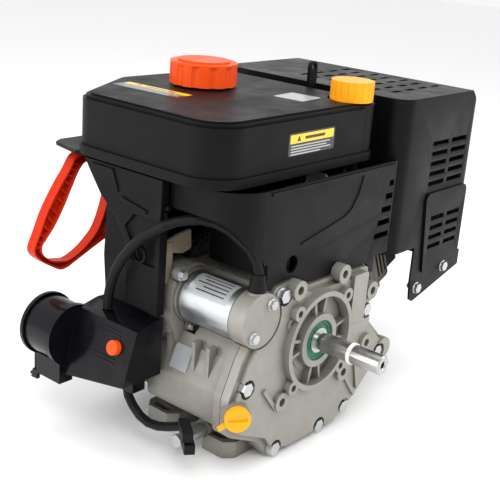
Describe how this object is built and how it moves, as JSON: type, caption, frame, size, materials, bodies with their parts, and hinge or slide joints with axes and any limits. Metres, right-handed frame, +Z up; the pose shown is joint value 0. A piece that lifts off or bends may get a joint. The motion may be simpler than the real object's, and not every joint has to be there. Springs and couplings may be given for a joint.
{
  "type": "small gasoline engine",
  "caption": "Single-cylinder horizontal-shaft petrol engine for a snow thrower, with top tank, muffler guard, pull start and mains electric starter.",
  "frame": {"origin": "crank axis at the plane of the output mounting pads", "axes": "+X toward the cylinder head and muffler, +Y toward the recoil starter, +Z up; the output shaft points along -Y"},
  "size_m": [0.4725, 0.3306, 0.355],
  "materials": {
    "casting": "sand-cast, satin",
    "machined": "die-cast, satin",
    "steel": "ground",
    "zinc": "zinc plated",
    "dark_steel": "machined",
    "black_plastic": "fine grain",
    "gloss_black": "glossy",
    "black_sheet": "satin black paint",
    "dark_casting": "heat-darkened casting",
    "orange_red": "satin",
    "amber": "satin",
    "red": "satin",
    "seal_green": "satin",
    "rubber": "satin",
    "ceramic": "glazed",
    "white_plastic": "satin",
    "gasket": "fibre",
    "copper": "wound copper and laminations",
    "nylon": "satin"
  },
  "bodies": {
    "block": {"crankcase": "casting", "crankcase_cover": "machined", "cover_gasket": "gasket", "cover_bolts": "zinc", "front_bearing": "steel", "rear_bearing": "steel", "oil_seal": "seal_green", "cylinder": "dark_casting", "head_gasket": "gasket", "cylinder_head": "dark_casting", "rocker_cover": "black_sheet", "spark_plug": "ceramic", "spark_plug_cap": "rubber", "piston": "machined", "piston_rings": "steel", "wrist_pin": "steel", "push_rods": "dark_steel", "rocker_arms": "dark_steel", "valves": "dark_steel", "blower_housing": "black_plastic", "recoil_housing": "black_plastic", "front_shroud": "black_plastic", "side_shroud": "black_plastic", "fuel_tank": "black_plastic", "oil_filler_tube": "black_plastic", "drain_pipe": "zinc", "muffler": "dark_steel", "muffler_guard": "black_sheet", "small_bolts": "zinc", "carburetor": "machined", "control_panel": "black_plastic", "starter_end_cap": "machined", "starter_can": "zinc", "starter_nose": "casting", "strain_relief": "rubber", "starter_cable": "rubber", "switch_box": "gloss_black", "harness": "black_plastic", "lifting_eye": "black_sheet"},
    "crank": {"crankshaft": "steel", "pto_ring": "white_plastic", "flywheel": "machined", "ring_gear": "dark_steel", "cooling_fan": "black_plastic", "starter_cup": "dark_steel"},
    "rod": {"connecting_rod": "machined", "rod_cap": "machined"},
    "cam": {"camshaft": "dark_steel"},
    "governor": {"governor_gear": "nylon"},
    "pull_handle": {"recoil_handle": "red", "recoil_rope": "rubber"},
    "tank_cap": {"fuel_cap": "orange_red"},
    "filler_cap": {"oil_filler_cap": "amber"},
    "plug": {"oil_plug": "amber"},
    "choke": {"choke_knob": "black_plastic"},
    "primer": {"primer_bulb": "red"},
    "starter_shaft": {"starter_armature": "copper"},
    "pinion": {"starter_pinion": "dark_steel"},
    "button": {"start_button": "orange_red"},
    "socket_lid": {"inlet_lid": "gloss_black"}
  },
  "joints": [
    {"name": "crank_spin", "type": "hinge", "parent": "block", "child": "crank", "pos_m": [0, 0, 0], "axis": [0, 1, 0], "continuous": true},
    {"name": "rod_swing", "type": "hinge", "parent": "crank", "child": "rod", "pos_m": [0.02492, 0.074, 0.01162], "axis": [0, 1, 0], "continuous": true},
    {"name": "cam_spin", "type": "hinge", "parent": "block", "child": "cam", "pos_m": [0.02441, 0.06, -0.05234], "axis": [0, 1, 0], "continuous": true},
    {"name": "governor_spin", "type": "hinge", "parent": "block", "child": "governor", "pos_m": [-0.03193, 0.034, -0.06506], "axis": [0, 1, 0], "continuous": true},
    {"name": "handle_pull", "type": "slide", "parent": "block", "child": "pull_handle", "axis": [0, 1, 0], "range_m": [0, 0.25]},
    {"name": "fuel_cap_turn", "type": "hinge", "parent": "block", "child": "tank_cap", "pos_m": [0.004, 0.178, 0.23], "axis": [0, 0, 1], "range_deg": [0, 120]},
    {"name": "filler_cap_turn", "type": "hinge", "parent": "block", "child": "filler_cap", "pos_m": [0.086, 0.054, 0.226], "axis": [0, 0, 1], "range_deg": [0, 720]},
    {"name": "oil_plug_turn", "type": "hinge", "parent": "block", "child": "plug", "pos_m": [-0.11, 0.01, -0.043], "axis": [0.5736, 0.8192, 0], "range_deg": [-720, 0]},
    {"name": "choke_turn", "type": "hinge", "parent": "block", "child": "choke", "pos_m": [0.128, 0.21, 0.096], "axis": [0, 1, 0], "range_deg": [0, 90]},
    {"name": "primer_press", "type": "slide", "parent": "block", "child": "primer", "axis": [0, -1, 0], "range_m": [0, 0.006], "stiffness_N_per_m": 800},
    {"name": "starter_spin", "type": "hinge", "parent": "block", "child": "starter_shaft", "pos_m": [-0.085, 0.06, 0.04129], "axis": [0, 1, 0], "continuous": true},
    {"name": "pinion_throw", "type": "slide", "parent": "starter_shaft", "child": "pinion", "axis": [0, 1, 0], "range_m": [0, 0.016], "stiffness_N_per_m": 200},
    {"name": "button_press", "type": "slide", "parent": "block", "child": "button", "axis": [0.9542, 0, -0.299], "range_m": [0, 0.003], "stiffness_N_per_m": 600},
    {"name": "lid_hinge", "type": "hinge", "parent": "block", "child": "socket_lid", "pos_m": [-0.156, 0.2183, -0.06], "axis": [-1, 0, 0], "range_deg": [0, 110]}
  ],
  "couplings": [
    {"joint": "rod_swing", "follows": "crank_spin", "ratio": -1},
    {"joint": "cam_spin", "follows": "crank_spin", "ratio": -0.5},
    {"joint": "governor_spin", "follows": "crank_spin", "ratio": 1}
  ]
}
